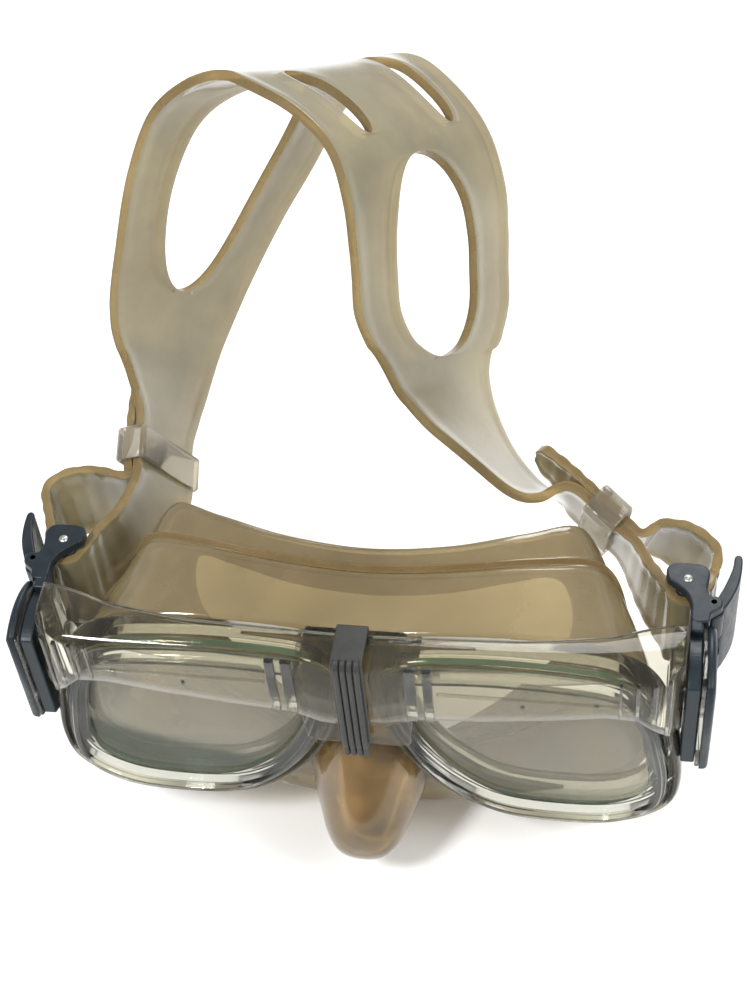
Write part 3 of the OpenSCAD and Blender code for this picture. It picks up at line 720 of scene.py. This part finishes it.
# ---------------------------------------------------------------- lenses and rings
# both profiles as (outward distance from the glass outline, depth behind the glass plane)
RING_PROFILE = [
    (1.5, -0.1), (1.55, -2.1), (1.3, -2.45), (0.75, -2.45), (0.6, -3.3), (0.3, -3.65), (-0.6, -3.65),
    (-0.9, -3.3), (-1.05, -2.5), (-1.6, -2.35), (-2.5, -2.2), (-2.9, -1.8), (-2.9, -0.1)
]
RIM_PROFILE = [
    (5.0, 6.7), (5.0, 0.4), (4.7, -0.5), (4.2, -0.95), (3.4, -1.0), (3.1, -0.7), (2.9, 0.2),
    (2.5, 0.25), (2.3, -0.4), (2.05, -0.5), (1.85, -0.3), (1.8, 3.5), (-2.9, 3.6), (-2.9, 6.6),
    (-2.5, 7.0), (4.6, 7.0)
]
GLASS_OUT = 1.4     # how far the glass reaches past its outline, under the ring


def make_lens(side, k):
    """Locking ring, rim and tempered glass with a green edge."""
    ring = piece("lens_ring_" + side + "_look", *swept(RING_PROFILE, k), [RING], "mask",
                 "frame_plastic", ["lens_ring_" + side])
    bevel(ring, 0.12, 2, 30)
    rim = piece("rim_" + side, *swept(RIM_PROFILE, k), [CLEAR], "mask", "frame_plastic")
    bevel(rim, 0.15, 2, 30)
    pane = grow(LENS_LINE, GLASS_OUT)
    rows = []
    for y, d in ((0.0, -0.4), (0.35, 0.0), (3.05, 0.0), (3.4, -0.4)):
        o = grow(pane, d)
        rows.append(np.stack([k * o[:, 0], np.full(len(o), LENS_Y + y), o[:, 1]], 1))
    faces = tube_faces(len(rows), len(pane))
    piece("glass_" + side, np.vstack(rows), faces, [GLASS, GLASS_EDGE], "mask", "lens_glass",
          ["lens_" + side], smooth=False, face_mats=[1] * (len(faces) - 2) + [0, 0])


for side, k in SIDES:
    make_lens(side, k)


# ---------------------------------------------------------------- frame
BAR_LOW, BAR_TOP = 21.0, 40.0
END_X = 77.3        # outer end of the brow bar and of the end blocks


def bar_front(x):
    """Depth of the brow bar's front face at x, behind the glass plane."""
    return spline([(-6.2,), (-6.2,), (-6.1,), (-5.6,), (-3.4,), (0.8,)],
                  np.interp(np.abs(x), [0, 40, 62, 70, 75, END_X], [0, 1, 2, 3, 4, 5]))[:, 0]


def bar_back(x):
    """Depth of its back face."""
    return spline([(3.0,), (4.5,), (7.5,), (11.0,), (12.5,)],
                  np.interp(np.abs(x), [0, 40, 60, 70, END_X], [0, 1, 2, 3, 4]))[:, 0]


def bar_low(x):
    """Height of the brow bar's lower edge at x."""
    return BAR_LOW + np.interp(np.abs(x), [0, 8, 15, 31, 47, 60, 67, 72, END_X - 1.5, END_X],
                               [-6, -5, -1.5, 0, 2.5, 5, 4.5, -1, -5, -4])


def make_bar():
    """Brow bar: one section of front, rounded top, back and hollow underside at many places along x."""
    ends = [-5, 5, -END_X + 0.5, END_X - 0.5]
    xs = np.unique(np.concatenate([np.linspace(-END_X, END_X, 210), ends]))
    front, back, top, low = bar_front(xs), bar_back(xs), np.full(len(xs), BAR_TOP), bar_low(xs)
    wall = 2.3

    def arc(depth, across, up, angles):
        return [(front + depth + across * (1 - np.cos(a)), top - 6.2 + up * np.sin(a))
                for a in np.radians(angles)]

    section = [(front + 0.35, low), (front, low + 0.4), (front, low + 4), (front + 0.15, top - 8.5)]
    section += arc(0.4, 5.2, 6.0, [0, 20, 40, 60, 80])
    section += [(back - 0.5, top), (back, top - 0.4), (back, top - 1.8), (back - 0.4, top - 2.2)]
    section += arc(0.4 + wall, 3.2, 3.8, [80, 50, 20])
    section += [(front + wall, low + 0.4), (front + wall - 0.35, low)]
    rows = [np.stack([xs, LENS_Y + y, z], 1) for y, z in section]
    m, n = len(rows), len(xs)
    faces = grid_faces(m, n, wrap_rows=True)
    faces += [[j * n for j in range(m)], [j * n + n - 1 for j in range(m)][::-1]]
    piece("brow_bar", np.vstack(rows), faces, [CLEAR], "mask", "frame_plastic", ["main_frame"])


def make_bridge():
    """Plate behind the bar that joins both rims."""
    bridge = [(-13, 5.2), (-9.5, 4.2), (9.5, 4.2), (13, 5.2), (15, 30), (12, 37), (-12, 37), (-15, 30)]
    obj = piece("bridge_plate", *prism(bridge, LENS_Y - 3.8, LENS_Y + 7, "y"), [CLEAR], "mask",
                "frame_plastic", smooth=False)
    bevel(obj, 0.8)


def rib(x, wide, low, high, at, out, depth, step=0.0):
    """Upright rib that stands out from the bar's front face at one place; step sets its outer side back."""
    face = LENS_Y + float(bar_front(np.array([at]))[0])
    outline = [(x, face - out), (x + wide, face - out + step), (x + wide, face + depth), (x, face + depth)]
    return prism(outline, low, high, "z")


def make_frame_side(side, k):
    """End block, swivel boss and the raised ribs and bands of one half of the bar."""
    block = [(73.5, -2.8), (76.4, 0.2), (77.2, 2), (77.2, 12), (74.4, 12.2), (73.5, 7)]
    part = prism([(x, LENS_Y + y) for x, y in block], 16.5, 39.6, "z")
    obj = piece("end_block_" + side, *flipped(part, k), [CLEAR], "mask", "frame_plastic", smooth=False)
    bevel(obj, 0.4)
    boss = rod(8.0, 73.4, 77.2, PIVOT_Y, PIVOT_Z, 56, 0.6)
    piece("pivot_boss_" + side, *flipped(boss, k), [CLEAR], "mask", "frame_plastic")
    # x, width, lower and upper end of the ribs beside the clip and on the end block
    ribs = [(13.2, 2.6, 20.0, 39.6), (17.4, 2.2, 20.0, 39.6), (62.6, 0.7, 27.0, 39.4),
            (66.4, 0.9, 26.2, 39.4), (70.2, 1.0, 23.0, 39.4), (73.4, 1.0, 18.6, 39.4)]
    parts = [rib(*v, v[0] + v[1] / 2, 0.6, 0.8, 0.25 if v[0] > 60 else 0.0) for v in ribs]
    # two small marks on the bar's lower edge
    parts += [rib(x, 1.0, z, z + 2.6, x, 0.4, 0.6) for x, z in ((40, 26.0), (57, 28.5))]
    xs = np.linspace(20.5, 64.5, 24)
    fronts = LENS_Y + bar_front(xs)
    outline = np.vstack([np.stack([xs, fronts - 0.35], 1), np.stack([xs, fronts + 0.6], 1)[::-1]])
    parts.append(prism(outline, BAR_TOP - 9.5, BAR_TOP - 8.9, "z"))
    obj = piece("bar_ribs_" + side, *flipped(merged(*parts), k), [RING], "mask", "frame_plastic",
                smooth=False)
    bevel(obj, 0.25, 2)


make_bar()
make_bridge()
for side, k in SIDES:
    make_frame_side(side, k)


# ---------------------------------------------------------------- bridge clip
CLIP_FRONT = LENS_Y - 6.2     # the bar's front face behind the clip
CLIP_HALF = 3.8               # half the clip's width


def clip_rib(x):
    """Rounded rib from the clip's foot, over its front and along its top."""
    line = [(-0.5, 4.9), (-0.9, 5.5), (-1.0, 8.5), (-1.35, 10.6), (-1.4, 20), (-1.4, 37.5),
            (-1.1, 40.0), (-0.4, 41.0), (0.6, 41.3)]
    line = spline([(CLIP_FRONT + y, z) for y, z in line], np.linspace(0, len(line) - 1, 60))
    n, last = 14, len(line) - 1
    ang = np.linspace(0, 2 * math.pi, n, endpoint=False)
    rows = []
    for j, (y, z) in enumerate(line):
        t = unit(line[min(j + 1, last)] - line[max(j - 1, 0)])
        r = 0.78 * min(1, 0.35 + 0.65 * math.sin(min(j, last - j, 4) / 4 * math.pi / 2))
        rise = r * np.sin(ang) * 0.9
        rows.append(np.stack([x + r * np.cos(ang), y - t[1] * rise, z + t[0] * rise], 1))
    return np.vstack(rows), tube_faces(len(rows), n)


def make_clip():
    """Dark clip hooked over the bar's middle, with a foot and four ribs."""
    f, b = CLIP_FRONT, LENS_Y
    path = [(f - 0.25, 9.6), (f - 0.9, 10.2), (f - 1.0, 39.8), (f - 0.6, 40.9), (f + 0.4, 41.3),
            (b + 4.2, 41.3), (b + 4.9, 40.8), (b + 4.9, 35.2), (b + 3.5, 35.2), (b + 3.4, 40.2),
            (f + 0.4, 40.25), (f - 0.15, 39.6)]
    obj = piece("clip_plate", *prism(path, -CLIP_HALF, CLIP_HALF, "x"), [SLATE], "mask",
                "clip_plastic", ["bridge_clip"], smooth=False)
    bevel(obj, 0.45)
    foot = [(-3.3, 10.4), (3.3, 10.4), (3.2, 6.0), (2.7, 5.2), (-2.7, 5.2), (-3.2, 6.0)]
    obj = piece("clip_foot", *prism(foot, f - 0.7, f + 0.2, "y"), [SLATE], "mask", "clip_plastic",
                smooth=False)
    bevel(obj, 0.4)
    ribs = merged(*[clip_rib(x) for x in (-2.4, -0.8, 0.8, 2.4)])
    piece("clip_ribs", *ribs, [SLATE], "mask", "clip_plastic")


make_clip()


# ---------------------------------------------------------------- strap keepers
def rounded(a, b, r):
    """Rectangle of half sizes a and b with round corners."""
    pts = []
    for sx, sy, start in ((1, 1, 0), (-1, 1, 90), (-1, -1, 180), (1, -1, 270)):
        cx, cy, end = sx * (a - r), sy * (b - r), math.radians(start + 90)
        pts += list(circle(cx, cy, r, 7, start, start + 90))
        pts.append((cx + r * math.cos(end), cy + r * math.sin(end)))
    return np.array(pts)


def make_keeper(side, keeper):
    """Loop round both layers of the strap."""
    centre, t, across = keeper[0], toward(keeper[1]), toward(keeper[2])
    d = unit(across - t * np.dot(across, t))
    nrm = np.cross(t, d)
    # half sizes of the opening, wall, half length along the strap
    hw, hh, wall, ln = 3.1, 12.6, 1.4, 4.5
    rows = []
    for off, z, r in ((wall - 0.4, -ln, 1.5), (wall, -ln + 0.5, 1.9), (wall, ln - 0.5, 1.9),
                      (wall - 0.4, ln, 1.5), (0.3, ln, 0.8), (0.0, ln - 0.5, 0.6),
                      (0.0, -ln + 0.5, 0.6), (0.3, -ln, 0.8)):
        o = rounded(hw + off, hh + off, r)
        rows.append(np.array(centre) + o[:, :1] * nrm + o[:, 1:] * d + z * t)
    piece("keeper_loop_" + side, np.vstack(rows), grid_faces(len(rows), len(rows[0]), True, True),
          [KEEPER], "keeper_" + side, "keeper_plastic", ["keeper_" + side])


make_keeper("left", KEEPER_LEFT)
make_keeper("right", KEEPER_RIGHT)


# ---------------------------------------------------------------- buckles
def oval(r, half):
    """Upright oval round the swivel axis: arcs joined by straight sides, as (y, z)."""
    a0 = math.degrees(math.acos(half / r))
    top = circle(PIVOT_Y, PIVOT_Z, r, 18, a0, 180 - a0)
    low = circle(PIVOT_Y, PIVOT_Z, r, 18, 180 + a0, 360 - a0)
    return np.vstack([top, low])


def domed(outline, x0, x1, bulge):
    """Flat outline pushed along X with an eased edge and a crowned outer face."""
    o = np.asarray(outline, float)
    c = o.mean(0)
    n = len(o)
    eased, last = 1.2, 0.93
    rows = [(x0, 1.0), (x1 - eased, 1.0)]
    for a in np.linspace(0.25, 1, 4) * math.pi / 2:
        rows.append((x1 - eased + eased * math.sin(a), 1 - (1 - last) * (1 - math.cos(a))))
    for q in np.linspace(last, 0.06, 7)[1:]:
        rows.append((x1 + bulge * (1 - (q / last) ** 2), q))
    verts = []
    for x, q in rows:
        p = c + (o - c) * q
        verts.append(np.stack([np.full(n, x), p[:, 0], p[:, 1]], 1))
    return np.vstack(verts), tube_faces(len(rows), n)


# yoke plate from above, round the roller and back to the lever's hinge
PLATE = [
    (71.9, -9.6), (72.8, -7.9), (75.0, -7.2), (79.2, -7.2), (81.2, -7.9), (82.1, -9.8), (81.9, -12.0),
    (81.6, -14.5), (82.4, -16.6), (84.3, -16.9), (85.3, -18.2), (85.1, -19.9), (84.0, -21.0),
    (82.6, -22.2), (82.0, -24.6), (78.2, -24.6), (78.0, -20.0), (76.8, -16.4), (74.0, -13.6), (72.3, -12.2)
]
YOKE_TOP = PLATE_HIGH + PLATE_T
INSIDE = (PLATE_LOW + PLATE_T, PLATE_HIGH)      # heights between the plates


def buckle_part(name, side, k, part, mat, node=None, skin="buckle_plastic", body="buckle_", round_off=0.0,
                segments=3):
    """Piece of one buckle; round_off eases its edges and keeps its faces flat."""
    obj = piece(name + side, *flipped(part, k), [mat], body + side, skin,
                [node + side] if node else (), smooth=not round_off)
    if round_off:
        bevel(obj, round_off, segments)


def make_buckle(side, k):
    """Swivelling core, spine, two plates, cover, clear strip, pins and the drum the strap turns on."""
    buckle_part("buckle_core_", side, k, prism(oval(17, 8.5), 77.7, 81.0, "x"), NAVY,
                "buckle_body_", round_off=0.5)
    spine = [(77.9, -27.6), (80.9, -27.6), (80.9, -20.8), (77.9, -20.8)]
    buckle_part("buckle_spine_", side, k, prism(spine, PLATE_LOW + 0.2, YOKE_TOP - 0.2, "z"), NAVY,
                round_off=0.6)
    plates = merged(*[prism(loop(PLATE, 3), z, z + PLATE_T, "z") for z in (PLATE_LOW, PLATE_HIGH)])
    buckle_part("buckle_plates_", side, k, plates, NAVY, round_off=0.5)
    buckle_part("buckle_shell_", side, k, domed(oval(18.4, 9.2), 82.2, 84.2, 0.6), NAVY,
                "buckle_cover_")
    buckle_part("buckle_strip_", side, k, prism(oval(17.8, 9.0), 81.1, 82.1, "x"), RING,
                "buckle_window_", "window_plastic", round_off=0.2, segments=2)
    pin = merged(post(1.25, PLATE_LOW - 0.3, YOKE_TOP + 0.3, ROLLER, 28, 0.35),
                 post(0.45, YOKE_TOP + 0.1, YOKE_TOP + 0.42, ROLLER, 16, 0.1))
    buckle_part("roller_rod_", side, k, pin, STEEL, "roller_pin_", "pin_steel")
    drum = post(3.0, INSIDE[0] + 0.3, INSIDE[1] - 0.3, ROLLER, 40, 0.4, 1.3)
    buckle_part("strap_drum_", side, k, drum, NAVY, "strap_roller_", body="roller_")
    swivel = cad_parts["pivot_pin_" + side].data.materials
    swivel.clear()
    swivel.append(STEEL)


def coil():
    """Spring round the lever's hinge: eight turns of wire."""
    turns, steps, n = 8, 24, 8
    radius, wire, pitch = 1.4, 0.3, 0.62
    ang = np.linspace(0, 2 * math.pi, n, endpoint=False)
    rows = []
    for j in range(turns * steps + 1):
        a = j * 2 * math.pi / steps
        out = np.array([math.cos(a), math.sin(a), 0.0])
        p = np.array([*LEVER, TURN_Z - 2.2 + j / steps * pitch]) + radius * out
        rows.append(p + wire * (np.cos(ang)[:, None] * out + np.sin(ang)[:, None] * np.array([0, 0, 1.0])))
    return np.vstack(rows), tube_faces(len(rows), n)


def make_lever(side, k):
    """Release lever with a hub at each end of its hinge, its pin and its spring."""
    buckle_part("lever_rod_", side, k, post(0.9, PLATE_LOW, YOKE_TOP, LEVER, 24, 0.2), STEEL,
                "lever_pin_", "pin_steel")
    z0, z1 = INSIDE[0] + 0.5, INSIDE[1] - 0.5
    hub, hub_tall = circle(*LEVER, 2.6, 32), 8.6
    parts = [prism(loop(LEVER_OUTLINE, 4), z0, z1, "z"), prism(hub, z0, z0 + hub_tall, "z"),
             prism(hub, z1 - hub_tall, z1, "z")]
    buckle_part("lever_blade_", side, k, merged(*parts), NAVY, "release_lever_", "lever_plastic",
                "lever_", round_off=0.45)
    buckle_part("lever_coil_", side, k, coil(), STEEL, "lever_spring_", "pin_steel")


for side, k in SIDES:
    make_buckle(side, k)
    make_lever(side, k)


# ---------------------------------------------------------------- stage
def make_stage():
    """White floor just under the mask, plain white surroundings and three soft lamps."""
    mesh = bpy.data.meshes.new("floor")
    bm = bmesh.new()
    bmesh.ops.create_grid(bm, x_segments=1, y_segments=1, size=3.0)
    bm.to_mesh(mesh)
    bm.free()
    floor = bpy.data.objects.new("floor", mesh)
    floor.location = (0, 0, cad_box[0][2] - 0.002)
    bpy.context.scene.collection.objects.link(floor)
    mat, nt, out = nodes_of("floor_paint")
    p = principled(nt, Roughness=0.9, Specular_IOR_Level=0.1)
    paint = ramp(nt, noise(nt, 3.0), [(0.0, (0.96, 0.96, 0.955)), (1.0, (0.99, 0.99, 0.985))])
    nt.links.new(paint, p.inputs["Base Color"])
    nt.links.new(p.outputs[0], out.inputs["Surface"])
    mesh.materials.append(mat)
    bpy.context.scene.view_settings.view_transform = "Standard"
    world = bpy.data.worlds.new("studio")
    bpy.context.scene.world = world
    world.use_nodes = True
    bg = world.node_tree.nodes["Background"]
    bg.inputs["Color"].default_value = (1, 1, 1, 1)
    bg.inputs["Strength"].default_value = 0.55

    def lamp(name, place, size, power):
        data = bpy.data.lights.new(name, "AREA")
        data.size = size
        data.energy = power
        lit = bpy.data.objects.new(name, data)
        lit.location = place
        lit.rotation_euler = (Vector((0, 0, 0.02)) - Vector(place)).to_track_quat("-Z", "Y").to_euler()
        bpy.context.scene.collection.objects.link(lit)

    lamp("key", (-0.35, -0.45, 0.75), 0.16, 6.0)
    lamp("fill", (0.55, -0.2, 0.5), 0.3, 2.5)
    lamp("back", (0.1, 0.7, 0.6), 0.4, 4.5)


make_stage()


def make_camera():
    """Camera from its turn, height and roll, its distance and its shift across the view."""
    az, el, roll = math.radians(12.5), math.radians(48.0), math.radians(-6.0)
    back = Vector((math.sin(az) * math.cos(el), -math.cos(az) * math.cos(el), math.sin(el)))
    right = Vector((math.cos(az), math.sin(az), 0))
    up = back.cross(right)
    r = math.cos(roll) * right + math.sin(roll) * up
    u = -math.sin(roll) * right + math.cos(roll) * up
    place = (3.0 * r + 60.0 * u + 448.0 * back + Vector((0, LENS_Y, 0))) * MM
    data = bpy.data.cameras.new("camera")
    data.sensor_fit = "HORIZONTAL"
    data.sensor_width = 36.0
    data.lens = 86.4
    data.clip_start = 0.01
    cam = bpy.data.objects.new("camera", data)
    cam.matrix_world = Matrix(((r.x, u.x, back.x, place.x), (r.y, u.y, back.y, place.y),
                               (r.z, u.z, back.z, place.z), (0, 0, 0, 1)))
    bpy.context.scene.collection.objects.link(cam)
    bpy.context.scene.camera = cam


make_camera()
